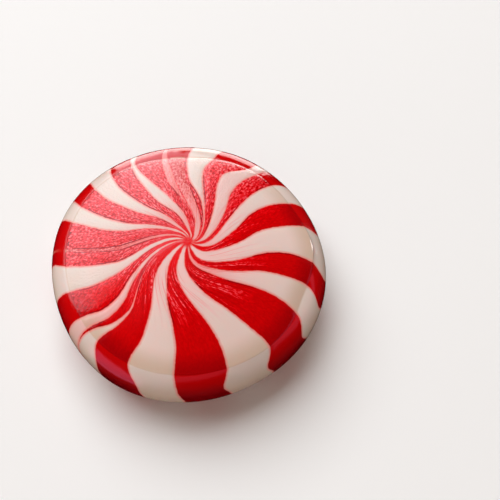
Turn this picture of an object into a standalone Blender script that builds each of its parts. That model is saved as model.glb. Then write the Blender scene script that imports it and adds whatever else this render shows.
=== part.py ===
"""Peppermint candy: one pressed disc of boiled sugar with two domed faces and a rounded rim. Its red and white
strands run down the rim and swirl into the middle of each face.

Metres, +Z up. The candy rests on z = 0, on the small flat spot of its lower face, and its box is centred on the
Z axis.
"""

import math

import bmesh
import bpy
from mathutils import Vector

MM = 0.001

# Driving sizes of the disc.
BODY_RADIUS = 12.7 * MM
FACE_RADIUS = 11.0 * MM  # where a domed face meets the rim in a crease
CREASE_HEIGHT = 2.4 * MM  # the crease above or below the disc's middle plane
DOME_HEIGHT = 2.3 * MM  # the middle of a face above its crease
UPPER_FULLNESS = 2.2  # of the rim above its widest line: 2 is a parabola in section, and more is squarer
LOWER_FULLNESS = 3.2  # and below it
BODY_SHIFT = (-0.06 * MM, 0.30 * MM)  # how far the body sits off the middle of its upper face
FLAT_RADIUS = 4.0 * MM  # the flat spot that the candy rests on

# The disc isn't quite round: lobes round it, how far each stands out, and the direction of one of them in degrees.
UNEVEN_PLAN = ((2, 0.24 * MM, -67), (3, 0.08 * MM, 8), (4, 0.10 * MM, -16))

# The swirl of a face has turned by TWIST at the middle, in degrees, and hardly turns outside TWIST_REACH.
TWIST = 60.0
TWIST_REACH = 3.1 * MM
TWIST_SHARPNESS = 1.6

# About DRIFT_RADIUS out, the swirl of the upper face sits off the middle by DRIFT, so its arms are uneven.
DRIFT = (-0.80 * MM, -0.62 * MM)
DRIFT_RADIUS = 3.5 * MM
DRIFT_SPREAD = 3.1 * MM
EYE_RADIUS = 1.2 * MM

# Each strand: its colour, and the angles in degrees where it starts on a face and on the rim's widest line.
STRANDS = (
    ("white", -164.0, -167.0),
    ("red", -151.0, -153.5),
    ("pink", -135.5, -139.0),
    ("red", -129.0, -134.0),
    ("white", -126.5, -129.5),
    ("red", -123.5, -120.0),
    ("white", -107.5, -101.0),
    ("red", -89.0, -85.0),
    ("white", -67.5, -69.0),
    ("red", -49.0, -50.5),
    ("white", -25.0, -31.5),
    ("red", -11.0, -16.0),
    ("white", 3.0, -3.0),
    ("red", 22.5, 19.0),
    ("white", 38.0, 33.0),
    ("red", 51.0, 46.0),
    ("pink", 62.5, 57.0),
    ("red", 75.0, 66.0),
    ("white", 87.0, 83.0),
    ("red", 98.0, 95.0),
    ("pink", 107.0, 104.5),
    ("red", 112.0, 109.0),
    ("white", 123.0, 122.0),
    ("red", 129.0, 126.0),
    ("white", 140.0, 135.5),
    ("red", 151.0, 147.5),
    ("white", 162.0, 159.0),
    ("red", 172.0, 169.0),
)
SHARP_ANGLE = 12  # degrees: the crease is sharper than this, and the valleys between strands aren't
BEND_RADIUS = 8.5 * MM  # from here outwards, strands bend from their angle on the face to the one on the rim

# Each strand is crowned a little, so that a shallow valley lies between it and the next.
CROWN = 0.05 * MM
CROWN_TO_WIDTH = 0.025  # a thin strand's crown is at most this share of its width

# The mesh: degrees across one of a strand's columns, and the rings along each stretch of the profile.
COLUMN_WIDTH = 4.5
UPPER_DOME_RINGS = 16
RIM_RINGS = 7
LOWER_DOME_RINGS = 7

SUGAR = {  # base colour and roughness of each colour of boiled sugar
    "red": ((0.60, 0.0, 0.003, 1.0), 0.2),
    "white": ((0.76, 0.68, 0.62, 1.0), 0.2),
    "pink": ((0.78, 0.36, 0.33, 1.0), 0.2),
}


def clear_scene():
    for thing in list(bpy.data.objects):
        bpy.data.objects.remove(thing)


def sugar_material(colour):
    base, roughness = SUGAR[colour]
    material = bpy.data.materials.new(colour + "_sugar")
    material.use_nodes = True
    shader = material.node_tree.nodes["Principled BSDF"]
    shader.inputs["Base Color"].default_value = base
    shader.inputs["Roughness"].default_value = roughness
    shader.inputs["Metallic"].default_value = 0.0
    material.diffuse_color = base
    return material


def smooth_share(value, start, end):
    """0 at start and before it, 1 at end and past it, and smoothly in between."""
    share = min(1.0, max(0.0, (value - start) / (end - start)))
    return share * share * (3 - 2 * share)


def dome_height(radius):
    """How far a face stands over its crease at this radius."""
    return DOME_HEIGHT * (1 - (radius / FACE_RADIUS) ** 2)


def dome_profile(start, end, rings):
    """(radius, height over the middle plane) along a face, closer together where the radius is small."""
    points = []
    for ring in range(rings + 1):
        radius = start + (end - start) * (ring / rings) ** 1.25
        points.append((radius, CREASE_HEIGHT + dome_height(radius)))
    return points


def rim_profile(fullness):
    """(radius, height over the middle plane) from just under the crease down to the rim's widest line."""
    points = []
    for ring in range(1, RIM_RINGS + 1):
        level = 1 - ring / RIM_RINGS
        radius = BODY_RADIUS - (BODY_RADIUS - FACE_RADIUS) * level**fullness
        points.append((radius, CREASE_HEIGHT * level))
    return points


def body_profile():
    """The disc's outline in half a section, from the middle of the upper face to the middle of the flat spot."""
    upper = dome_profile(0.0, FACE_RADIUS, UPPER_DOME_RINGS) + rim_profile(UPPER_FULLNESS)
    under_rim = [(radius, -height) for radius, height in rim_profile(LOWER_FULLNESS)[-2::-1]]
    lower_dome = dome_profile(FLAT_RADIUS, FACE_RADIUS, LOWER_DOME_RINGS)
    lower = [(radius, -height) for radius, height in lower_dome[::-1]]
    return upper + under_rim + lower + [(0.0, lower[-1][1])]


def strand_columns():
    """Each mesh column round the disc: its strand's colour and crown, and its angle on a face and on the rim."""
    columns = []
    for number, (colour, on_face, on_rim) in enumerate(STRANDS):
        following = STRANDS[(number + 1) % len(STRANDS)]
        face_width = (following[1] - on_face) % 360
        rim_width = (following[2] - on_rim) % 360
        steps = max(2, round(face_width / COLUMN_WIDTH))
        for step in range(steps):
            place = step / steps
            columns.append({
                "colour": colour,
                "on_face": on_face + face_width * place,
                "on_rim": on_rim + rim_width * place,
                "strand_width": math.radians(face_width),
                "crown": math.sin(math.pi * place),
            })
    return columns


def plan_swell(angle):
    """How far the uneven disc stands out past the round one in this direction, as a share of the radius."""
    swell = 0.0
    for lobes, height, direction in UNEVEN_PLAN:
        swell += height * math.cos(lobes * (angle - math.radians(direction)))
    return swell / BODY_RADIUS


def swirl_turn(radius):
    """The swirl's turn in degrees at this radius of a face."""
    return TWIST * math.exp(-((radius / TWIST_REACH) ** TWIST_SHARPNESS))


def swirl_drift(radius):
    """The share of DRIFT that the swirl has at this radius: none at its eye and hardly any at the crease."""
    return math.exp(-(((radius - DRIFT_RADIUS) / DRIFT_SPREAD) ** 2)) * smooth_share(radius, 0.0, EYE_RADIUS)


def body_shift_share(radius, height):
    """The share of BODY_SHIFT here: none on the upper face, and all of it from the widest line down."""
    if height <= 0:
        return 1.0
    return max(0.0, (radius - FACE_RADIUS) / (BODY_RADIUS - FACE_RADIUS))


def crown_height(column, radius):
    """How far the surface stands proud at this column, where the strand lies this far from the middle."""
    most = min(CROWN, CROWN_TO_WIDTH * column["strand_width"] * radius)
    return most * column["crown"]


def shaped_point(column, radius, height):
    """Where a column's point of the round profile lies on the real disc, with its swirl, crown and uneven plan."""
    upper = height > 0
    on_face = radius < FACE_RADIUS + MM / 100
    level = min(1.0, abs(height) / CREASE_HEIGHT)
    bend = 0.5 * smooth_share(radius, BEND_RADIUS, FACE_RADIUS) if on_face else 1 - 0.5 * level
    turn = -swirl_turn(radius) if upper else swirl_turn(radius)
    degrees = column["on_face"] + (column["on_rim"] - column["on_face"]) * bend + turn
    angle = math.radians(degrees)
    drift = swirl_drift(radius) if upper and on_face else 0.0
    x = radius * math.cos(angle) + DRIFT[0] * drift
    y = radius * math.sin(angle) + DRIFT[1] * drift
    z = height
    if on_face and upper:
        z = CREASE_HEIGHT + dome_height(math.hypot(x, y))
    off_flat_spot = 1.0 if upper else smooth_share(radius, FLAT_RADIUS, BEND_RADIUS)
    crown = crown_height(column, radius) * off_flat_spot
    z += math.copysign(crown * level, height)
    scale = 1 + plan_swell(math.atan2(y, x)) + crown * (1 - level) / BODY_RADIUS
    shift = body_shift_share(radius, height)
    return Vector((x * scale + BODY_SHIFT[0] * shift, y * scale + BODY_SHIFT[1] * shift, z))


def turn_profile(bm, columns):
    """The round disc: the profile spun round the Z axis, with one step for each column."""
    points = [bm.verts.new((radius, 0.0, height)) for radius, height in body_profile()]
    edges = [bm.edges.new(pair) for pair in zip(points, points[1:])]
    bmesh.ops.spin(
        bm,
        geom=points + edges,
        cent=(0.0, 0.0, 0.0),
        axis=(0.0, 0.0, 1.0),
        angle=2 * math.pi,
        steps=len(columns),
        use_merge=True,
    )
    bmesh.ops.remove_doubles(bm, verts=bm.verts[:], dist=MM / 1000)


def column_of(place, columns):
    """The number of the column that a point of the round disc lies on or just past, counting from +X."""
    turns = math.atan2(place.y, place.x) / (2 * math.pi)
    return math.floor(turns * len(columns) + 0.01) % len(columns)


def colour_strands(bm, columns, colours):
    for face in bm.faces:
        column = columns[column_of(face.calc_center_median(), columns)]
        face.material_index = colours.index(column["colour"])


def shape_disc(bm, columns):
    for vertex in bm.verts:
        radius = math.hypot(vertex.co.x, vertex.co.y)
        column = columns[column_of(vertex.co, columns)]
        vertex.co = shaped_point(column, radius, vertex.co.z)


def stand_on_floor(bm):
    """Centre the disc's box on the Z axis, with the flat spot on z = 0."""
    low = Vector([min(vertex.co[axis] for vertex in bm.verts) for axis in range(3)])
    high = Vector([max(vertex.co[axis] for vertex in bm.verts) for axis in range(3)])
    middle = (low + high) / 2
    bmesh.ops.translate(bm, verts=bm.verts[:], vec=(-middle.x, -middle.y, -low.z))


def build_candy():
    columns = strand_columns()
    colours = list(SUGAR)
    bm = bmesh.new()
    turn_profile(bm, columns)
    colour_strands(bm, columns, colours)
    shape_disc(bm, columns)
    stand_on_floor(bm)
    bmesh.ops.recalc_face_normals(bm, faces=bm.faces[:])
    mesh = bpy.data.meshes.new("candy")
    bm.to_mesh(mesh)
    bm.free()
    for colour in colours:
        mesh.materials.append(sugar_material(colour))
    mesh.shade_smooth()
    mesh.set_sharp_from_angle(angle=math.radians(SHARP_ANGLE))
    candy = bpy.data.objects.new("candy", mesh)
    bpy.context.scene.collection.objects.link(candy)
    return candy


clear_scene()
build_candy()
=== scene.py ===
"""Peppermint candy: the finish of one pressed disc of boiled sugar, whose red and ivory strands
swirl into the middle of each face.
"""

import math

import bpy
from mathutils import Matrix, Quaternion, Vector


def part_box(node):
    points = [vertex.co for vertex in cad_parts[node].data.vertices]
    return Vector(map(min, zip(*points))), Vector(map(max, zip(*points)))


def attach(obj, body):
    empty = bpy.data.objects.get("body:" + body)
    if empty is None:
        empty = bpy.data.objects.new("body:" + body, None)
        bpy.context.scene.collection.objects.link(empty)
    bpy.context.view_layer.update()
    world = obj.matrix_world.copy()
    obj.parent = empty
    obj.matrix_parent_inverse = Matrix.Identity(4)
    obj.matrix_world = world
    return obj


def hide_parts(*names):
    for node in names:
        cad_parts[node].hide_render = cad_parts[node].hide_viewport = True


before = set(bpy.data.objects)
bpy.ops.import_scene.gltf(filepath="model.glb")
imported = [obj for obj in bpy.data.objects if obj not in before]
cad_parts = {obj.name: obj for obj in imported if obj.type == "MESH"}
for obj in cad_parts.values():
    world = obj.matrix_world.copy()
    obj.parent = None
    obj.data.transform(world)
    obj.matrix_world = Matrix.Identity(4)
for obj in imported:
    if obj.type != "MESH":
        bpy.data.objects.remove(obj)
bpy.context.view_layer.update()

MM = 0.001

# The disc's sizes, in millimetres.
BODY_RADIUS = 12.7
FACE_RADIUS = 11.0
CREASE_HEIGHT = 2.4
DOME_HEIGHT = 2.3
UPPER_FULLNESS = 2.5  # of the rim's upper half: 2 is a parabola in section, and more is squarer
LOWER_FULLNESS = 3.2
BODY_SHIFT = (-0.06, 0.30)  # how far the body sits off the middle of its upper face
FLAT_RADIUS = 4.0
CREASE_ROUNDING = 0.25  # half the width of the rounding along a crease
CREASE_BEND = 0.2  # how much steeper the rim leaves a crease than the face reaches it
VALLEY_DEPTH = 0.035  # of the shallow valley between two strands
VALLEY_REACH = 0.28  # from the middle of the valley to where it ends, about
PULL_DEPTH = 0.035  # of the fine ridges that pulling leaves along the strands

# Lobes round the disc's uneven outline: how many, how far each stands out in millimetres, and the
# direction of one in degrees.
UNEVEN_PLAN = ((2, 0.24, -67), (3, 0.08, 8), (4, 0.10, -16))

# The swirl of a face: its turn at the middle in degrees, and how fast that dies out with the radius.
TWIST = 68.0
TWIST_REACH = 3.0
TWIST_SHARPNESS = 1.35
DRIFT = (-0.80, -0.62)  # millimetres that the swirl sits off the middle at DRIFT_RADIUS, where it is most
DRIFT_RADIUS = 3.5
DRIFT_SHARPNESS = 2.5

# A place tells where a row lies on the disc: 0 is the upper face's middle, 1 its crease, 2 the lower
# crease, and 3 the lower face's middle. The strands' edges are given at these radii on the upper face,
# and at RIM_PLACE, half way down the rim's upper half.
STATIONS = (1.3, 3.0, 5.0, 7.0, 9.0, 11.0)
RIM_PLACE = 1.25
SIDE_LEAN = 2.0  # degrees that a strand leans on from there to the rim's widest line
LOWER_PLACES = ((1.5, 1), (2.0, 2), (3.0, 2))  # each place, and how many times SIDE_LEAN it leans by there

# Each strand: red or pale, how milky it is near the middle and further out, and the direction in degrees
# of the edge where it begins, before the swirl turns it, at each station and at RIM_PLACE.
STRANDS = (
    ("pale", 0.50, 0.00, (-172.0, -169.0, -169.2, -172.0, -174.5, -176.5, -177.0)),
    ("red", 0.10, 0.00, (-165.0, -163.8, -166.3, -170.0, -173.0, -175.0, -176.0)),
    ("pale", 0.85, 1.00, (-152.0, -149.2, -153.0, -159.2, -163.5, -167.3, -170.0)),
    ("red", 0.15, 0.00, (-139.0, -138.5, -143.0, -147.0, -150.0, -153.5, -153.5)),
    ("pale", 0.75, 0.70, (-126.0, -127.0, -131.0, -131.4, -134.0, -139.3, -139.5)),
    ("red", 0.45, 0.00, (-119.0, -120.5, -125.5, -125.4, -128.2, -133.0, -132.2)),
    ("pale", 0.00, 1.00, (-109.3, -114.4, -117.8, -118.6, -124.2, -131.6, -131.9)),
    ("red", 0.10, 0.00, (-108.7, -114.0, -117.2, -117.4, -121.4, -125.4, -121.0)),
    ("pale", 0.80, 1.00, (-88.5, -95.0, -100.0, -104.0, -106.2, -108.7, -103.0)),
    ("red", 0.15, 0.00, (-71.0, -75.5, -84.8, -87.0, -87.3, -88.3, -87.0)),
    ("pale", 0.80, 1.00, (-50.5, -58.0, -63.8, -64.8, -64.8, -66.0, -69.5)),
    ("red", 0.05, 0.00, (-30.0, -38.0, -46.3, -47.2, -46.2, -45.0, -50.5)),
    ("pale", 0.55, 1.00, (-14.0, -15.0, -21.5, -22.6, -23.0, -25.0, -31.5)),
    ("red", 0.10, 0.00, (-5.5, -7.5, -11.0, -9.0, -9.0, -9.8, -16.5)),
    ("pale", 0.80, 1.00, (8.0, 3.0, 1.5, 5.5, 5.5, 2.3, -4.0)),
    ("red", 0.10, 0.00, (31.0, 24.0, 20.6, 24.2, 23.8, 22.2, 18.0)),
    ("pale", 0.70, 1.00, (47.0, 34.5, 35.0, 40.0, 39.8, 37.0, 33.0)),
    ("red", 0.20, 0.00, (54.0, 46.0, 49.0, 51.5, 52.0, 50.4, 46.0)),
    ("pale", 0.75, 0.75, (63.0, 53.5, 56.0, 62.8, 63.0, 60.0, 57.0)),
    ("red", 0.10, 0.00, (69.0, 66.3, 69.6, 75.0, 75.2, 66.0, 64.0)),
    ("pale", 0.50, 1.00, (79.0, 74.6, 80.4, 85.6, 87.2, 84.0, 81.0)),
    ("red", 0.10, 0.00, (81.5, 77.2, 83.8, 95.0, 97.7, 97.5, 94.0)),
    ("pale", 0.60, 0.00, (86.0, 82.0, 91.0, 97.5, 99.0, 99.0, 96.0)),
    ("red", 0.10, 0.00, (104.0, 92.8, 100.5, 105.2, 106.5, 106.5, 101.0)),
    ("pale", 0.10, 0.45, (104.6, 93.4, 102.0, 106.0, 107.2, 107.8, 106.5)),
    ("red", 0.05, 0.00, (105.2, 94.0, 103.6, 110.4, 111.4, 110.5, 107.0)),
    ("pale", 0.65, 1.00, (118.0, 107.8, 114.0, 120.0, 123.4, 124.0, 120.0)),
    ("red", 0.10, 0.00, (128.0, 118.5, 127.0, 128.2, 128.0, 126.3, 124.0)),
    ("pale", 0.65, 1.00, (143.0, 134.2, 139.0, 140.2, 139.7, 137.0, 134.0)),
    ("red", 0.15, 0.00, (151.0, 145.4, 149.5, 150.3, 150.4, 148.0, 146.0)),
    ("pale", 0.70, 1.00, (160.0, 161.8, 164.3, 163.5, 161.6, 159.2, 157.0)),
    ("red", 0.05, 0.00, (171.0, 170.4, 173.5, 173.0, 170.8, 168.8, 168.0)),
)
# A strand changes from the first milkiness to the second from this share of the face's radius on, over
# this much of it.
MILK_FROM, MILK_REACH = 0.3, 0.4
# A strand thinner than THIN_STRAND degrees loses THINNING of what it lacks at each edge, and so dies out.
THIN_STRAND = 1.0
THINNING = 0.3

# Where the crease stands out from the even outline or in from it: the direction and half width of the
# place in degrees, and how far in millimetres.
CREASE_DENTS = ((12, 15, 0.45), (-17, 11, -0.32), (98, 24, -0.50), (-50, 24, 0.15))

COLUMN_WIDTH = 0.8  # degrees across a column of the mesh, measured at WIDTH_STATION
WIDTH_STATION = STATIONS.index(9.0)
MIN_COLUMNS = 3  # of a strand
ROWS = 168
# Rows lie closest at the middles and at the two creases. Each point is (share of the rows, place / 3).
ROW_SPREAD = ((0.0, 0.0), (0.44, 0.326), (0.48, 0.342), (0.64, 0.658), (0.68, 0.674), (1.0, 1.0))
MERGE_DISTANCE = 0.0002  # millimetres: closer points become one, at the seam and at the middles

# The photograph's camera. Its focal length is 731 pixels of a picture that is 500 wide.
PICTURE = 500
FOCAL_PIXELS = 731
CAMERA_DISTANCE = 67.3 * MM
CAMERA_ELEVATION = 60.3
CAMERA_ROLL = -5.44
CANDY_PIXEL = (189.3, 267.0)  # where the disc's centre shows
SENSOR = 36.0  # millimetres

FLOOR_REACH = 0.45  # metres
FLOOR_SIDES = 96

PEPPERMINT_RED = "#D00003"
# Each colour from no air pulled into it, which leaves it clear, to as much as it takes, which makes it
# milky.
RED_TONES = ((0.0, PEPPERMINT_RED), (0.17, "#EE0109"), (0.5, "#FA4450"), (1.0, "#FF8E94"))
PALE_TONES = ((0.0, PEPPERMINT_RED), (0.45, "#F58C8C"), (0.8, "#F6CBC8"), (1.0, "#F0D8D0"))
STAIN = "#F58880"  # on a pale strand, beside the red
SHADE_AND_MARK_RED = "#800007"  # painted shade on the red, and the red of dark threads and grains
SHADED_PALE = "#CBAE93"  # painted shade on the pale sugar
CHALK = "#E2D6CE"  # the milkiest strands
# painted shade in the valleys along the strands' edges, and dark specks along the crease
EDGE_SHADE_AND_SPECKS = "#7E000A"

# How fine each noise is: how many cells it has in a millimetre, or else in a radian round the swirl, which
# takes two numbers, and from one place to the next, which is 11 mm on a face.
RAGGED_SCALE = 2.6  # waves of 0.4 mm and less along the strands' edges
RIDGE_SCALE = (30.0, 30.0, 2.2)  # ridges 0.2 mm wide at 6 mm from the middle, and 5 mm long
THREAD_SCALE = (34.0, 34.0, 2.5)  # threads nearly 0.2 mm wide at 6 mm from the middle, and 4 mm long
EDGE_SHADE_PATCH_SCALE = (5.0, 5.0, 1.5)  # stretches where the painted edge shade and the specks show, 1.4 mm wide at 7 mm from the middle, and 7 mm long
# Grains 0.15 mm wide at 8 mm from the middle, and 0.3 mm long. The press leaves finer ones, which wouldn't
# show, so these are coarser.
GRAIN_SCALE = (54.0, 54.0, 40.0)
RIDGE_SEED = 3.0

# These are in millimetres too, apart from the direction.
RAGGED_WIDTH = 0.12  # from one side of a ragged edge to the other, at the most
STAIN_WIDTH = 0.26  # of a pale strand beside the red, 7 mm from the middle and further out
GRAIN_AND_SHEEN_SIDE = (-0.64, 0.77, 0.0)  # the direction, towards the lamps at the back left, in which there is more grain and a painted sheen
GRAIN_AND_SHEEN_FROM, GRAIN_AND_SHEEN_TO = -3.0, 5.5  # from the middle that way: where the grain and the painted sheen begin and where they are full
SPECKS_RADIUS = 10.86  # of the dark specks at the crease
RELIEF_DEPTH = 0.06  # of the grains, from the lowest to the highest

# The zones of the sugar's finish: the radii in millimetres where each begins and where it is full.
ZONES = {
    "eye": (0.8, 0.3),
    "off_eye": (0.8, 3.2),
    "inner": (8.5, 3.5),
    "to_crease": (9.0, 10.9),
    "off_rim": (11.1, 10.9),
    "before_rim": (11.15, 11.0),
}

MATH = "ShaderNodeMath"
VECTOR = "ShaderNodeVectorMath"
RANGE = "ShaderNodeMapRange"
MIX = "ShaderNodeMix"
MIX_FROM, MIX_TO, MIX_RESULT = 6, 7, 2  # the numbers of a colour mix's sockets, whose names aren't unique


def linear(code):
    """A colour written as sRGB hex, in Blender's linear values."""
    shades = [int(code[k : k + 2], 16) / 255 for k in (1, 3, 5)]
    return [s / 12.92 if s <= 0.04045 else ((s + 0.055) / 1.055) ** 2.4 for s in shades] + [1.0]


def add(tree, kind, inputs=(), **settings):
    """Adds a node with its settings. Its inputs, in order or by name, are plain values, sockets, or nodes
    whose first output is used.
    """
    node = tree.nodes.new(kind)
    for name, value in settings.items():
        setattr(node, name, value)
    for key, value in inputs.items() if isinstance(inputs, dict) else enumerate(inputs):
        if isinstance(value, bpy.types.Node):
            value = value.outputs[0]
        if isinstance(value, bpy.types.NodeSocket):
            tree.links.new(value, node.inputs[key])
        else:
            node.inputs[key].default_value = value
    return node


def plan_swell(direction):
    """How far the uneven outline stands out in this direction, as a share of the radius."""
    out = sum(most * math.cos(lobes * math.radians(direction - at)) for lobes, most, at in UNEVEN_PLAN)
    return out / BODY_RADIUS


def crease_dent(direction):
    """How far the crease stands out in this direction, as a share of the face's radius."""
    out = 0.0
    for at, half_width, most in CREASE_DENTS:
        away = (direction - at + 180) % 360 - 180
        out += most * math.exp(-((away / half_width) ** 2))
    return out / FACE_RADIUS


def milk_at(strand, outward):
    """How milky a strand is, where outward runs from 0, near the middle, to 1, further out."""
    return strand[1] + (strand[2] - strand[1]) * outward


def strand_lines():
    """A mesh of straight lines, one for each column of the candy, with the strands' values at each place
    where they are given.
    """
    places = [radius / FACE_RADIUS for radius in STATIONS] + [RIM_PLACE]
    leans = []
    for place, times in LOWER_PLACES:
        places.append(place)
        leans.append(SIDE_LEAN * times)
    verts, edges = [], []
    values = {"direction": [], "edge": [], "pale_milk": [], "red_milk": [], "swell": [], "dent": []}
    columns = 0
    for number, strand in enumerate(STRANDS):
        previous = STRANDS[number - 1]
        following = STRANDS[(number + 1) % len(STRANDS)]
        own, other = ("red_milk", "pale_milk") if strand[0] == "red" else ("pale_milk", "red_milk")
        starts = strand[3] + tuple(strand[3][-1] + lean for lean in leans)
        ends = following[3] + tuple(following[3][-1] + lean for lean in leans)
        widths = [(end - start) % 360 for start, end in zip(starts, ends)]
        steps = max(MIN_COLUMNS, round(widths[WIDTH_STATION] / COLUMN_WIDTH))
        for step in range(steps):
            share = step / steps
            columns += 1
            for station, (place, start, width) in enumerate(zip(places, starts, widths)):
                outward = min(1.0, max(0.0, (place - MILK_FROM) / MILK_REACH))
                before, after = milk_at(previous, outward), milk_at(following, outward)
                direction = start + width * share
                thinned = THINNING * max(0.0, THIN_STRAND - width)
                inside = min(share, 1 - share) * width - thinned
                if station:
                    edges.append((len(verts) - 1, len(verts)))
                verts.append((place, 0.0, 0.0))
                values["direction"].append(direction)
                values["edge"].append(inside if strand[0] == "red" else -inside)
                values[own].append(milk_at(strand, outward))
                values[other].append(before + (after - before) * share)
                values["swell"].append(plan_swell(direction))
                values["dent"].append(crease_dent(direction))
    mesh = bpy.data.meshes.new("strand_lines")
    mesh.from_pydata(verts, edges, [])
    for name, numbers in values.items():
        mesh.attributes.new(name, "FLOAT", "POINT").data.foreach_set("value", numbers)
    return mesh, columns


def pressed_disc_tree():
    """Geometry nodes that turn the disc's profile round its axis, along the strands."""
    tree = bpy.data.node_groups.new("pressed_disc", "GeometryNodeTree")
    face = tree.interface
    face.new_socket("Geometry", in_out="INPUT", socket_type="NodeSocketGeometry")
    for name, kind in (
        ("Columns", "Int"),
        ("Rows", "Int"),
        ("Body Radius", "Float"),
        ("Face Radius", "Float"),
        ("Crease Height", "Float"),
        ("Dome Height", "Float"),
        ("Crease Rounding", "Float"),
        ("Crease Bend", "Float"),
        ("Upper Fullness", "Float"),
        ("Lower Fullness", "Float"),
        ("Body Shift", "Vector"),
        ("Flat Radius", "Float"),
        ("Twist", "Float"),
        ("Twist Reach", "Float"),
        ("Twist Sharpness", "Float"),
        ("Drift", "Vector"),
        ("Drift Radius", "Float"),
        ("Drift Sharpness", "Float"),
        ("Valley Depth", "Float"),
        ("Valley Reach", "Float"),
        ("Pull Depth", "Float"),
        ("Seed", "Float"),
        ("Sugar", "Material"),
    ):
        face.new_socket(name, in_out="INPUT", socket_type="NodeSocket" + kind)
    face.new_socket("Geometry", in_out="OUTPUT", socket_type="NodeSocketGeometry")
    given = add(tree, "NodeGroupInput").outputs

    # The row and column of each point of the grid, and the row's place on the disc.
    index = add(tree, "GeometryNodeInputIndex")
    column = add(tree, MATH, (index, given["Rows"]), operation="DIVIDE")
    column = add(tree, MATH, (column,), operation="FLOOR")
    row = add(tree, MATH, (index, given["Rows"]), operation="MODULO")
    last_row = add(tree, MATH, (given["Rows"], 1.0), operation="SUBTRACT")
    along = add(tree, MATH, (row, last_row), operation="DIVIDE")
    spread = add(tree, "ShaderNodeFloatCurve", {"Value": along})
    curve = spread.mapping.curves[0]
    for point in ROW_SPREAD[1:-1]:  # the curve has the first and the last already
        curve.points.new(*point)
    for point in curve.points:
        point.handle_type = "VECTOR"
    place = add(tree, MATH, (spread, 3.0), operation="MULTIPLY")

    # The profile: how far out each row lies, and at what level of the rim, from 1 at its top to -1 at its
    # foot.
    level = add(
        tree, RANGE, {"Value": place, "From Min": 1.0, "From Max": 2.0, "To Min": 1.0, "To Max": -1.0},
    )
    upright = add(tree, MATH, (level,), operation="SIGN")
    above = add(tree, MATH, (level, 0.0), operation="GREATER_THAN")
    place_below = add(tree, MATH, (3.0, place), operation="SUBTRACT")
    from_middle = add(tree, MATH, (place, place_below), operation="MINIMUM")
    inward = add(tree, MATH, (from_middle, 1.0), operation="MINIMUM")
    fullness = add(
        tree, RANGE,
        {"Value": above, "To Min": given["Lower Fullness"], "To Max": given["Upper Fullness"]},
    )
    on_face = add(tree, MATH, (level,), operation="ABSOLUTE")
    on_face = add(tree, MATH, (on_face, fullness), operation="POWER")
    on_rim = add(tree, MATH, (1.0, on_face), operation="SUBTRACT")
    rim_width = add(tree, MATH, (given["Body Radius"], given["Face Radius"]), operation="SUBTRACT")
    rim_part = add(tree, MATH, (rim_width, on_rim), operation="MULTIPLY")
    radius = add(tree, MATH, (inward, given["Face Radius"], rim_part), operation="MULTIPLY_ADD")
    on_upper_face = add(tree, MATH, (above, on_face), operation="MULTIPLY")

    # The strands' values, read along each column's line.
    lines = add(tree, "GeometryNodeMeshToCurve", {"Mesh": given["Geometry"]})
    lines = add(tree, "GeometryNodeCurveSplineType", {"Curve": lines}, spline_type="CATMULL_ROM")
    wrapped = add(tree, MATH, (column, given["Columns"]), operation="MODULO")
    down_line = add(tree, MATH, (place, STATIONS[0] / FACE_RADIUS), operation="SUBTRACT")
    down_line = add(tree, MATH, (down_line, 0.0), operation="MAXIMUM")
    read = {}
    for name in ("direction", "edge", "pale_milk", "red_milk", "swell", "dent"):
        value = add(tree, "GeometryNodeInputNamedAttribute", {"Name": name}, data_type="FLOAT")
        read[name] = add(
            tree, "GeometryNodeSampleCurve",
            {"Curves": lines, "Value": value, "Length": down_line, "Curve Index": wrapped},
            mode="LENGTH", data_type="FLOAT",
        )

    # The swirl turns one way on the upper face and, seen from above, the other way on the lower one.
    dying = add(tree, MATH, (radius, given["Twist Reach"]), operation="DIVIDE")
    dying = add(tree, MATH, (dying, given["Twist Sharpness"]), operation="POWER")
    dying = add(tree, MATH, (dying, -1.0), operation="MULTIPLY")
    turn = add(tree, MATH, (dying,), operation="EXPONENT")
    turn = add(tree, MATH, (turn, given["Twist"]), operation="MULTIPLY")
    turn = add(tree, MATH, (turn, upright), operation="MULTIPLY")
    angle = add(tree, MATH, (read["direction"], turn), operation="SUBTRACT")
    angle = add(tree, MATH, (angle,), operation="RADIANS")
    cosine = add(tree, MATH, (angle,), operation="COSINE")
    sine = add(tree, MATH, (angle,), operation="SINE")
    outward = add(tree, "ShaderNodeCombineXYZ", (cosine, sine, 0.0))
    round_place = add(tree, VECTOR, {0: outward, "Scale": radius}, operation="SCALE")

    # The crease isn't quite even, and the swirl of the upper face sits a little off the middle.
    near_crease = add(tree, MATH, (inward, on_upper_face), operation="MULTIPLY")
    near_crease = add(tree, MATH, (near_crease, 4.0), operation="POWER")  # so only close to the crease
    stretch = add(tree, MATH, (read["dent"], near_crease, 1.0), operation="MULTIPLY_ADD")
    round_place = add(tree, VECTOR, {0: round_place, "Scale": stretch}, operation="SCALE")
    part = add(tree, MATH, (radius, given["Drift Radius"]), operation="DIVIDE")
    fading = add(tree, MATH, (1.0, part), operation="SUBTRACT")
    fading = add(tree, MATH, (fading,), operation="EXPONENT")
    drift = add(tree, MATH, (part, fading), operation="MULTIPLY")
    drift = add(tree, MATH, (drift, given["Drift Sharpness"]), operation="POWER")
    drift = add(tree, MATH, (drift, on_upper_face), operation="MULTIPLY")
    beside = add(tree, VECTOR, {0: given["Drift"], "Scale": drift}, operation="SCALE")
    flat_place = add(tree, VECTOR, (round_place, beside), operation="ADD")

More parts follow.
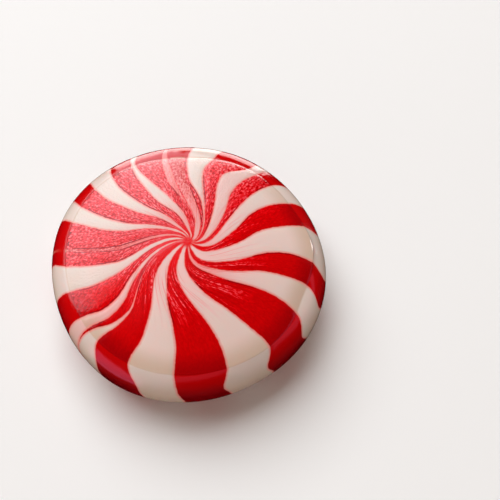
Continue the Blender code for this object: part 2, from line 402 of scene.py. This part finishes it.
    # Domed faces, with a rounded crease.
    out = add(tree, VECTOR, (flat_place,), operation="LENGTH").outputs["Value"]
    face_reach = add(tree, MATH, (given["Face Radius"], stretch), operation="MULTIPLY")
    share = add(tree, MATH, (out, face_reach), operation="DIVIDE")
    square = add(tree, MATH, (share, share), operation="MULTIPLY")
    dome = add(
        tree, RANGE,
        {"Value": square, "From Min": 1.0, "From Max": 0.0, "To Max": given["Dome Height"]},
    )
    dome = add(tree, MATH, (dome, upright), operation="MULTIPLY")
    height = add(tree, MATH, (level, given["Crease Height"], dome), operation="MULTIPLY_ADD")
    off_crease = add(tree, MATH, (from_middle, 1.0), operation="SUBTRACT")
    off_crease = add(tree, MATH, (off_crease, given["Face Radius"]), operation="MULTIPLY")
    off_crease = add(tree, MATH, (off_crease,), operation="ABSOLUTE")
    rounding = add(tree, "ShaderNodeCombineXYZ", (off_crease, given["Crease Rounding"], 0.0))
    rounding = add(tree, VECTOR, (rounding,), operation="LENGTH").outputs["Value"]
    rounding = add(tree, MATH, (off_crease, rounding), operation="SUBTRACT")
    half_bend = add(tree, MATH, (given["Crease Bend"], 0.5), operation="MULTIPLY")
    rounding = add(tree, MATH, (rounding, half_bend), operation="MULTIPLY")
    height = add(tree, MATH, (rounding, upright, height), operation="MULTIPLY_ADD")

    # A shallow valley along each strand's edge, which fades towards the middle and the rim's widest line.
    edge = add(tree, MATH, (read["edge"],), operation="RADIANS")
    from_edge = add(tree, MATH, (edge, radius), operation="MULTIPLY")
    valley = add(tree, MATH, (from_edge, given["Valley Reach"]), operation="DIVIDE")
    valley = add(tree, MATH, (valley, valley), operation="MULTIPLY")
    valley = add(tree, MATH, (valley, -1.0), operation="MULTIPLY")
    valley = add(tree, MATH, (valley,), operation="EXPONENT")
    valley = add(tree, MATH, (valley, given["Valley Depth"]), operation="MULTIPLY")
    off_middle = add(
        tree, RANGE, {"Value": radius, "From Min": 1.0, "From Max": 6.0}, interpolation_type="SMOOTHSTEP",
    )
    off_middle = add(tree, MATH, (off_middle, on_face), operation="MULTIPLY")
    valley = add(tree, MATH, (valley, off_middle), operation="MULTIPLY")

    # Fine ridges where the sugar was pulled, which follow the strands and fade towards the eye and the
    # rim.
    own_angle = add(tree, MATH, (read["direction"],), operation="RADIANS")
    own_cosine = add(tree, MATH, (own_angle,), operation="COSINE")
    own_sine = add(tree, MATH, (own_angle,), operation="SINE")
    unwound = add(tree, "ShaderNodeCombineXYZ", (own_cosine, own_sine, place))
    fine = add(tree, VECTOR, (unwound, RIDGE_SCALE), operation="MULTIPLY")
    fine = add(tree, VECTOR, (fine, given["Seed"]), operation="ADD")
    ridges = add(tree, "ShaderNodeTexNoise", {"Vector": fine, "Scale": 1.0, "Detail": 3.0})
    ridge = add(tree, MATH, (ridges, 0.5), operation="SUBTRACT")
    off_eye = add(
        tree, RANGE, {"Value": radius, "From Min": 0.0, "From Max": 2.5}, interpolation_type="SMOOTHSTEP",
    )
    off_rim = add(
        tree, RANGE, {"Value": radius, "From Min": 9.5, "From Max": 6.0}, interpolation_type="SMOOTHSTEP",
    )
    ridge = add(tree, MATH, (ridge, off_eye), operation="MULTIPLY")
    ridge = add(tree, MATH, (ridge, off_rim), operation="MULTIPLY")
    ridge = add(tree, MATH, (ridge, given["Pull Depth"]), operation="MULTIPLY")
    relief = add(tree, MATH, (ridge, valley), operation="SUBTRACT")
    height = add(tree, MATH, (relief, upright, height), operation="MULTIPLY_ADD")

    # The flat spot on the lower face.
    flat_share = add(tree, MATH, (given["Flat Radius"], given["Face Radius"]), operation="DIVIDE")
    flat_square = add(tree, MATH, (flat_share, flat_share), operation="MULTIPLY")
    flat_dome = add(tree, MATH, (1.0, flat_square), operation="SUBTRACT")
    lowest = add(
        tree, MATH, (flat_dome, given["Dome Height"], given["Crease Height"]), operation="MULTIPLY_ADD",
    )
    lowest = add(tree, MATH, (lowest, -1.0), operation="MULTIPLY")
    height = add(tree, MATH, (height, lowest), operation="MAXIMUM")

    # The uneven outline, and the body's shift under the upper face.
    swell = add(tree, MATH, (read["swell"], 1.0), operation="ADD")
    widened = add(tree, VECTOR, {0: flat_place, "Scale": swell}, operation="SCALE")
    off_upper_face = add(tree, MATH, (1.0, on_upper_face), operation="SUBTRACT")
    shifted = add(tree, VECTOR, {0: given["Body Shift"], "Scale": off_upper_face}, operation="SCALE")
    widened = add(tree, VECTOR, (widened, shifted), operation="ADD")
    raised = add(tree, "ShaderNodeCombineXYZ", (0.0, 0.0, height))
    solid = add(tree, VECTOR, (widened, raised), operation="ADD")
    in_metres = add(tree, VECTOR, {0: solid, "Scale": MM}, operation="SCALE")

    # The grid, with its values kept for the sugar's pattern, set in place and closed at the seam and the
    # middles.
    across = add(tree, MATH, (given["Columns"], 1.0), operation="ADD")
    shape = add(tree, "GeometryNodeMeshGrid", {"Vertices X": across, "Vertices Y": given["Rows"]})
    for name, kind, value in (
        ("from_edge", "FLOAT", from_edge),
        ("pale_milk", "FLOAT", read["pale_milk"]),
        ("red_milk", "FLOAT", read["red_milk"]),
        ("unwound", "FLOAT_VECTOR", unwound),
        ("radius", "FLOAT", radius),
        ("level", "FLOAT", level),
    ):
        shape = add(
            tree, "GeometryNodeStoreNamedAttribute", {"Geometry": shape, "Name": name, "Value": value},
            data_type=kind, domain="POINT",
        )
    shape = add(tree, "GeometryNodeSetPosition", {"Geometry": shape, "Position": in_metres})
    shape = add(tree, "GeometryNodeMergeByDistance", {"Geometry": shape, "Distance": MERGE_DISTANCE * MM})
    shape = add(tree, "GeometryNodeFlipFaces", {"Mesh": shape})
    shape = add(tree, "GeometryNodeSetShadeSmooth", {"Geometry": shape})
    shape = add(tree, "GeometryNodeRealizeInstances", {"Geometry": shape})
    shape = add(tree, "GeometryNodeSetMaterial", {"Geometry": shape, "Material": given["Sugar"]})
    add(tree, "NodeGroupOutput", (shape,))
    return tree


def sugar_material():
    """Boiled sugar, pulled, laid up in strands and pressed: a hard glassy skin with a fine grain from the
    press, over a body that lets some light in. The red is clear and deep, and air makes the pale strands
    milky.
    """
    material = bpy.data.materials.new("pulled_boiled_sugar")
    material.use_nodes = True
    tree = material.node_tree
    tree.nodes.clear()
    place = add(tree, "ShaderNodeTexCoord").outputs["Object"]
    in_mm = add(tree, VECTOR, {0: place, "Scale": 1 / MM}, operation="SCALE")
    kept = {}
    for name in ("from_edge", "pale_milk", "red_milk", "radius", "level"):
        kept[name] = add(tree, "ShaderNodeAttribute", attribute_name=name).outputs["Fac"]
    radius = kept["radius"]
    unwound = add(tree, "ShaderNodeAttribute", attribute_name="unwound").outputs["Vector"]
    zone = {}
    for name, (begins, full) in ZONES.items():
        zone[name] = add(
            tree, RANGE, {"Value": radius, "From Min": begins, "From Max": full},
            interpolation_type="SMOOTHSTEP",
        )

    # Ragged edges, and beside each edge a pale strand that the red has stained, over less of it near the
    # middle, where the strands are thin. Only a milky strand shows the stain.
    ragged = add(tree, "ShaderNodeTexNoise", {"Vector": in_mm, "Scale": RAGGED_SCALE, "Detail": 3.0})
    ragged = add(tree, MATH, (ragged, RAGGED_WIDTH, -RAGGED_WIDTH / 2), operation="MULTIPLY_ADD")
    edge = add(tree, MATH, (kept["from_edge"], ragged), operation="ADD")
    red_share = add(
        tree, RANGE, {"Value": edge, "From Min": -0.05, "From Max": 0.05}, interpolation_type="SMOOTHSTEP",
    )
    narrowed = add(tree, RANGE, {"Value": radius, "From Max": 7.0, "To Min": 0.2})
    stained = add(tree, MATH, (edge, narrowed), operation="DIVIDE")
    stained = add(
        tree, RANGE, {"Value": stained, "From Min": -STAIN_WIDTH, "From Max": -0.02, "To Max": 0.75},
        interpolation_type="SMOOTHSTEP",
    )
    milky = add(tree, RANGE, {"Value": kept["pale_milk"], "From Min": 0.1, "From Max": 0.6})
    stained = add(tree, MATH, (stained, milky), operation="MULTIPLY")

    # Threads of the pulled sugar along the swirl, between the eye and the outer part of a face.
    threads = add(tree, VECTOR, (unwound, THREAD_SCALE), operation="MULTIPLY")
    threads = add(
        tree, "ShaderNodeTexNoise",
        {"Vector": threads, "Scale": 1.0, "Detail": 3.0, "Roughness": 0.55},
    )
    threaded = add(tree, MATH, (zone["inner"], zone["off_eye"]), operation="MULTIPLY")

    # Grain that the press leaves on both faces, most of it on the grainy side, towards the lamps at the
    # back left. There the colour also gets a painted sheen, and the grains' light and dark marks stand for
    # painted glints and gaps in it.
    across = add(tree, VECTOR, (in_mm, GRAIN_AND_SHEEN_SIDE), operation="DOT_PRODUCT").outputs["Value"]
    grain_and_sheen_side = add(
        tree, RANGE, {"Value": across, "From Min": GRAIN_AND_SHEEN_FROM, "From Max": GRAIN_AND_SHEEN_TO, "To Min": 0.08},
        interpolation_type="SMOOTHSTEP",
    )
    grain_and_sheen_side = add(tree, MATH, (grain_and_sheen_side, zone["off_rim"]), operation="MULTIPLY")
    grain = add(tree, VECTOR, (unwound, GRAIN_SCALE), operation="MULTIPLY")
    grain = add(tree, "ShaderNodeTexNoise", {"Vector": grain, "Scale": 1.0, "Detail": 2.0})
    speckled = add(tree, MATH, (zone["inner"], 0.2), operation="MULTIPLY")
    speckled = add(tree, MATH, (grain_and_sheen_side, speckled), operation="MAXIMUM")
    speckled = add(tree, MATH, (speckled, zone["off_eye"]), operation="MULTIPLY")

    # What shows of each noise: the values where it begins and where it is full, and how much it shows.
    marks = {}
    for name, noise, begins, full, shown in (
        ("pale_threads", threads, 0.52, 0.6, threaded),
        ("dark_threads", threads, 0.46, 0.39, threaded),
        ("light_grains_and_glints", grain, 0.55, 0.61, speckled),
        ("dark_grains_and_sheen_gaps", grain, 0.45, 0.39, speckled),
    ):
        mark = add(
            tree, RANGE, {"Value": noise, "From Min": begins, "From Max": full},
            interpolation_type="SMOOTHSTEP",
        )
        marks[name] = add(tree, MATH, (mark, shown), operation="MULTIPLY")

    # Air in a strand makes it milkier. Painted glints make it lighter: pale threads, broken up by the
    # grain, and light grains. The grainy side gets a painted sheen, and dark grains are painted gaps in
    # it, where the sugar stays clearer. Of the pale strands only the clear ones show these.
    dotted = add(
        tree, RANGE, {"Value": grain, "From Min": 0.47, "From Max": 0.58, "To Min": 0.15, "To Max": 0.75},
    )
    glints_and_sheen = add(tree, MATH, (marks["pale_threads"], dotted), operation="MULTIPLY")
    for part, amount in ((marks["light_grains_and_glints"], 0.5), (grain_and_sheen_side, 0.36), (marks["dark_grains_and_sheen_gaps"], -0.6)):
        glints_and_sheen = add(tree, MATH, (part, amount, glints_and_sheen), operation="MULTIPLY_ADD")
    red_tone = add(tree, MATH, (kept["red_milk"], 0.7, glints_and_sheen), operation="MULTIPLY_ADD")
    clear = add(tree, MATH, (1.0, milky), operation="SUBTRACT")
    clear_glints_and_sheen = add(tree, MATH, (clear, glints_and_sheen), operation="MULTIPLY")
    pale_tone = kept["pale_milk"]
    for part, amount in ((marks["dark_threads"], -0.3), (clear_glints_and_sheen, 0.55)):
        pale_tone = add(tree, MATH, (part, amount, pale_tone), operation="MULTIPLY_ADD")
    tones = []
    for tone, stops in ((red_tone, RED_TONES), (pale_tone, PALE_TONES)):
        ramp = add(tree, "ShaderNodeValToRGB", (tone,))
        ramp.color_ramp.elements.remove(ramp.color_ramp.elements[1])
        ramp.color_ramp.elements[0].color = linear(stops[0][1])
        for position, code in stops[1:]:
            ramp.color_ramp.elements.new(position).color = linear(code)
        tones.append(ramp)
    red, pale = tones

    # Painted shade: the red is darker and the pale sugar more tan towards the rim's widest line, and just
    # inside the crease where the face isn't grainy, away from the lamps. The red is deeper in dark threads
    # and grains too. The milkiest strands look like chalk on the rim and on the grainy side.
    # Painted shade just inside the crease, kept off the grainy side.
    smooth = add(tree, MATH, (1.0, grain_and_sheen_side), operation="SUBTRACT")
    crease_shade = add(tree, MATH, (zone["to_crease"], zone["before_rim"]), operation="MULTIPLY")
    crease_shade = add(tree, MATH, (crease_shade, smooth), operation="MULTIPLY")
    # Painted shade towards the rim's widest line, on both halves of the rim.
    off_widest = add(tree, MATH, (kept["level"],), operation="ABSOLUTE")
    rim_belt_shade = add(
        tree, RANGE, {"Value": off_widest, "From Min": 0.95, "From Max": 0.1, "To Max": 0.95},
        interpolation_type="SMOOTHSTEP",
    )
    red_shade_and_dark_marks = rim_belt_shade
    for part, amount in ((marks["dark_threads"], 0.4), (marks["dark_grains_and_sheen_gaps"], 0.2), (crease_shade, 0.6)):
        red_shade_and_dark_marks = add(tree, MATH, (part, amount, red_shade_and_dark_marks), operation="MULTIPLY_ADD")
    pale_shade = add(tree, MATH, (rim_belt_shade, 0.65), operation="MULTIPLY")
    pale_shade = add(tree, MATH, (crease_shade, 0.7, pale_shade), operation="MULTIPLY_ADD")
    milkiest = add(
        tree, RANGE, {"Value": kept["pale_milk"], "From Min": 0.5, "From Max": 0.9, "To Max": 0.7},
    )
    chalky = add(tree, RANGE, {"Value": zone["off_rim"], "To Min": 0.9, "To Max": grain_and_sheen_side})
    chalky = add(tree, MATH, (chalky, milkiest), operation="MULTIPLY")
    inputs = {"Factor": red_shade_and_dark_marks, MIX_FROM: red, MIX_TO: linear(SHADE_AND_MARK_RED)}
    red = add(tree, MIX, inputs, data_type="RGBA").outputs[MIX_RESULT]
    for share, code in ((chalky, CHALK), (pale_shade, SHADED_PALE), (stained, STAIN)):
        inputs = {"Factor": share, MIX_FROM: pale, MIX_TO: linear(code)}
        pale = add(tree, MIX, inputs, data_type="RGBA").outputs[MIX_RESULT]

    # The eye of the swirl is red all through.
    red_share = add(tree, MATH, (red_share, zone["eye"]), operation="MAXIMUM")
    inputs = {"Factor": red_share, MIX_FROM: pale, MIX_TO: red}
    colour = add(tree, MIX, inputs, data_type="RGBA").outputs[MIX_RESULT]

    # Here and there a thin dark line of painted shade runs along an edge, just inside the red, in the
    # valley between two strands, and on the grainy side dark specks lie on the red along the crease.
    off_line = add(tree, MATH, (edge, 0.09), operation="SUBTRACT")
    off_line = add(tree, MATH, (off_line,), operation="ABSOLUTE")
    edge_shade_and_specks = add(
        tree, RANGE, {"Value": off_line, "From Min": 0.07, "From Max": 0.02},
        interpolation_type="SMOOTHSTEP",
    )
    off_middle = add(
        tree, RANGE, {"Value": radius, "From Min": 1.5, "From Max": 3.5, "To Max": 0.8},
        interpolation_type="SMOOTHSTEP",
    )
    off_crease = add(tree, RANGE, {"Value": radius, "From Min": 10.4, "From Max": 10.1})
    from_crease = add(tree, MATH, (radius, SPECKS_RADIUS), operation="SUBTRACT")
    from_crease = add(tree, MATH, (from_crease,), operation="ABSOLUTE")
    specks = add(tree, RANGE, {"Value": from_crease, "From Min": 0.1, "From Max": 0.04})
    dots = add(tree, RANGE, {"Value": grain, "From Min": 0.53, "From Max": 0.47})
    for share in (off_middle, off_crease):
        edge_shade_and_specks = add(tree, MATH, (edge_shade_and_specks, share), operation="MULTIPLY")
    for share in (dots, red_share, grain_and_sheen_side):
        specks = add(tree, MATH, (specks, share), operation="MULTIPLY")
    patches = add(tree, VECTOR, (unwound, EDGE_SHADE_PATCH_SCALE), operation="MULTIPLY")
    patches = add(tree, "ShaderNodeTexNoise", {"Vector": patches, "Scale": 1.0, "Detail": 1.0})
    patches = add(
        tree, RANGE, {"Value": patches, "From Min": 0.5, "From Max": 0.58},
        interpolation_type="SMOOTHSTEP",
    )
    edge_shade_and_specks = add(tree, MATH, (edge_shade_and_specks, specks), operation="MAXIMUM")
    edge_shade_and_specks = add(tree, MATH, (edge_shade_and_specks, patches), operation="MULTIPLY")
    inputs = {"Factor": edge_shade_and_specks, MIX_FROM: colour, MIX_TO: linear(EDGE_SHADE_AND_SPECKS)}
    colour = add(tree, MIX, inputs, data_type="RGBA").outputs[MIX_RESULT]

    # The relief of the grains, and of the threads, which are lower where they are thinner.
    grain_relief = add(tree, MATH, (grain, grain_and_sheen_side), operation="MULTIPLY")
    thread_relief = add(tree, MATH, (threads, zone["inner"]), operation="MULTIPLY")
    thread_relief = add(tree, MATH, (thread_relief, radius), operation="MULTIPLY")
    relief = add(tree, MATH, (thread_relief, 0.03, grain_relief), operation="MULTIPLY_ADD")
    bump = add(tree, "ShaderNodeBump", {"Strength": 1.0, "Distance": RELIEF_DEPTH * MM, "Height": relief})
    shader = add(
        tree, "ShaderNodeBsdfPrincipled",
        {
            "Base Color": colour,
            "Roughness": 0.13,
            "IOR": 1.5,
            "Subsurface Weight": 0.25,
            "Subsurface Radius": (1.0, 0.2, 0.15),  # red light goes furthest into the sugar
            "Subsurface Scale": 0.25 * MM,
            "Normal": bump,
        },
    )
    add(tree, "ShaderNodeOutputMaterial", {"Surface": shader})
    return material


def set_inputs(modifier, values):
    """Sets a geometry nodes modifier's inputs, by the identifiers of their sockets."""
    for item in modifier.node_group.interface.items_tree:
        if item.item_type == "SOCKET" and item.in_out == "INPUT" and item.name in values:
            modifier[item.identifier] = values[item.name]


def build_candy():
    """The candy as one mesh, and where the axis of its swirl stands."""
    lines, columns = strand_lines()
    maker = bpy.data.objects.new("candy_maker", lines)
    bpy.context.scene.collection.objects.link(maker)
    modifier = maker.modifiers.new("pressed_disc", "NODES")
    modifier.node_group = pressed_disc_tree()
    set_inputs(modifier, {
        "Columns": columns,
        "Rows": ROWS,
        "Body Radius": BODY_RADIUS,
        "Face Radius": FACE_RADIUS,
        "Crease Height": CREASE_HEIGHT,
        "Dome Height": DOME_HEIGHT,
        "Crease Rounding": CREASE_ROUNDING,
        "Crease Bend": CREASE_BEND,
        "Upper Fullness": UPPER_FULLNESS,
        "Lower Fullness": LOWER_FULLNESS,
        "Body Shift": (*BODY_SHIFT, 0.0),
        "Flat Radius": FLAT_RADIUS,
        "Twist": TWIST,
        "Twist Reach": TWIST_REACH,
        "Twist Sharpness": TWIST_SHARPNESS,
        "Drift": (*DRIFT, 0.0),
        "Drift Radius": DRIFT_RADIUS,
        "Drift Sharpness": DRIFT_SHARPNESS,
        "Pull Depth": PULL_DEPTH,
        "Valley Depth": VALLEY_DEPTH,
        "Valley Reach": VALLEY_REACH,
        "Seed": RIDGE_SEED,
        "Sugar": sugar_material(),
    })
    bpy.context.view_layer.update()
    finished = maker.evaluated_get(bpy.context.evaluated_depsgraph_get())
    mesh = bpy.data.meshes.new_from_object(finished)
    bpy.data.objects.remove(maker)
    candy = bpy.data.objects.new("pulled_sugar_disc", mesh)
    bpy.context.scene.collection.objects.link(candy)

    low = Vector([min(v.co[k] for v in mesh.vertices) for k in range(3)])
    high = Vector([max(v.co[k] for v in mesh.vertices) for k in range(3)])
    node_low, node_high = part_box("candy")
    shift = (node_low + node_high - low - high) / 2
    shift.z = node_low.z - low.z
    mesh.transform(Matrix.Translation(shift))
    return candy, shift


def place_camera(target):
    """The photograph's camera, so that the disc's centre shows at its pixel."""
    elevation = math.radians(CAMERA_ELEVATION)
    back = Vector((0.0, -math.cos(elevation), math.sin(elevation)))
    right = Vector((1.0, 0.0, 0.0))
    up = back.cross(right)
    roll = math.radians(CAMERA_ROLL)
    across = right * math.cos(roll) - up * math.sin(roll)
    upward = right * math.sin(roll) + up * math.cos(roll)
    aside = (CANDY_PIXEL[0] - PICTURE / 2) / FOCAL_PIXELS * CAMERA_DISTANCE
    below = (CANDY_PIXEL[1] - PICTURE / 2) / FOCAL_PIXELS * CAMERA_DISTANCE
    place = target - across * aside + upward * below + back * CAMERA_DISTANCE
    camera = bpy.data.objects.new("camera", bpy.data.cameras.new("camera"))
    camera.data.sensor_width = SENSOR
    camera.data.lens = FOCAL_PIXELS / PICTURE * SENSOR
    camera.data.clip_start = 0.005
    axes = Matrix((across, upward, back)).transposed().to_4x4()
    camera.matrix_world = Matrix.Translation(place) @ axes
    bpy.context.scene.collection.objects.link(camera)
    bpy.context.scene.camera = camera


def area_light(name, direction, distance, size, brightness, colour, roll=0):
    """A softbox in this direction (azimuth from +X and elevation, in degrees), turned to the candy. Its
    distance and size are in metres, and it looks as bright whatever its size.
    """
    azimuth, elevation = (math.radians(value) for value in direction)
    away = Vector((
        math.cos(azimuth) * math.cos(elevation),
        math.sin(azimuth) * math.cos(elevation),
        math.sin(elevation),
    ))
    data = bpy.data.lights.new(name, "AREA")
    data.shape = "RECTANGLE"
    data.size, data.size_y = size
    data.energy = brightness * math.pi * size[0] * size[1]
    data.color = linear(colour)[:3]
    light = bpy.data.objects.new(name, data)
    light.location = away * distance
    turned = away.to_track_quat("Z", "Y") @ Quaternion((0.0, 0.0, 1.0), math.radians(roll))
    light.rotation_euler = turned.to_euler()
    bpy.context.scene.collection.objects.link(light)
    return light


def plain_floor():
    """A round sheet of uncoated white board, whose pressed fibres spread the light and show no gloss."""
    material = bpy.data.materials.new("matt_white_board")
    material.use_nodes = True
    shader = material.node_tree.nodes["Principled BSDF"]
    shader.inputs["Base Color"].default_value = linear("#F6F9FA")
    shader.inputs["Roughness"].default_value = 0.9
    turns = [2 * math.pi * k / FLOOR_SIDES for k in range(FLOOR_SIDES)]
    edge = [(FLOOR_REACH * math.cos(turn), FLOOR_REACH * math.sin(turn), 0.0) for turn in turns]
    mesh = bpy.data.meshes.new("floor")
    mesh.from_pydata(edge, [], [list(range(FLOOR_SIDES))])
    mesh.materials.append(material)
    floor = bpy.data.objects.new("floor", mesh)
    bpy.context.scene.collection.objects.link(floor)
    floor.visible_glossy = False  # so that the sugar keeps its deep red


def studio_light():
    """Weak room light, two lamps for the sugar's body and the floor, and six cards for the gloss."""
    world = bpy.data.worlds.new("studio")
    world.use_nodes = True
    bpy.context.scene.world = world
    tree = world.node_tree
    tree.nodes.clear()
    # The room glows warm and weakly, and past the floor the picture shows a pale backdrop.
    seen = add(tree, "ShaderNodeLightPath").outputs["Is Camera Ray"]
    room = add(tree, "ShaderNodeBackground", {"Color": linear("#FFE0CE"), "Strength": 0.21})
    backdrop = add(tree, "ShaderNodeBackground", {"Color": linear("#EDEBE9"), "Strength": 1.0})
    shown = add(tree, "ShaderNodeMixShader", (seen, room, backdrop))
    add(tree, "ShaderNodeOutputWorld", {"Surface": shown})
    world.cycles_visibility.glossy = False  # soft light that isn't seen in the gloss

    # These light the sugar's body and the floor. The gloss doesn't show them.
    key = area_light("key_behind_left", (128, 57), 0.6, (0.6, 0.6), 3.65, "#FFFFFF")
    fill = area_light("fill_front", (-110, 25), 0.6, (0.6, 0.6), 0.4, "#FFF0E4")
    for lamp in (key, fill):
        lamp.visible_glossy = False

    # These are seen in the gloss alone, so that each one's edge falls where the photograph shows it.
    for card in (
        area_light("softbox_behind_left", (137, 27), 0.5, (0.84, 0.33), 2.35, "#F4F6FF", roll=15),
        area_light("card_behind", (97, -10), 0.5, (0.4, 0.23), 4.0, "#FFF0EE"),
        area_light("strip_right", (42, 8), 0.5, (0.08, 0.26), 10.0, "#FFFFFF"),
        area_light("card_right", (-2, 27), 0.5, (0.5, 0.13), 1.1, "#FF7C9C"),
        area_light("card_front", (-72, 31), 0.5, (0.5, 0.11), 0.8, "#FF7C9C"),
        area_light("card_front_left", (-132, 0), 0.5, (0.36, 0.3), 2.6, "#F27AA2"),
    ):
        card.visible_diffuse = False

    bpy.context.scene.view_settings.view_transform = "Standard"


def main():
    """The candy in the frame, its camera, floor and light."""
    candy, shift = build_candy()
    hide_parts("candy")
    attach(candy, "root")
    place_camera(shift)
    plain_floor()
    studio_light()


main()
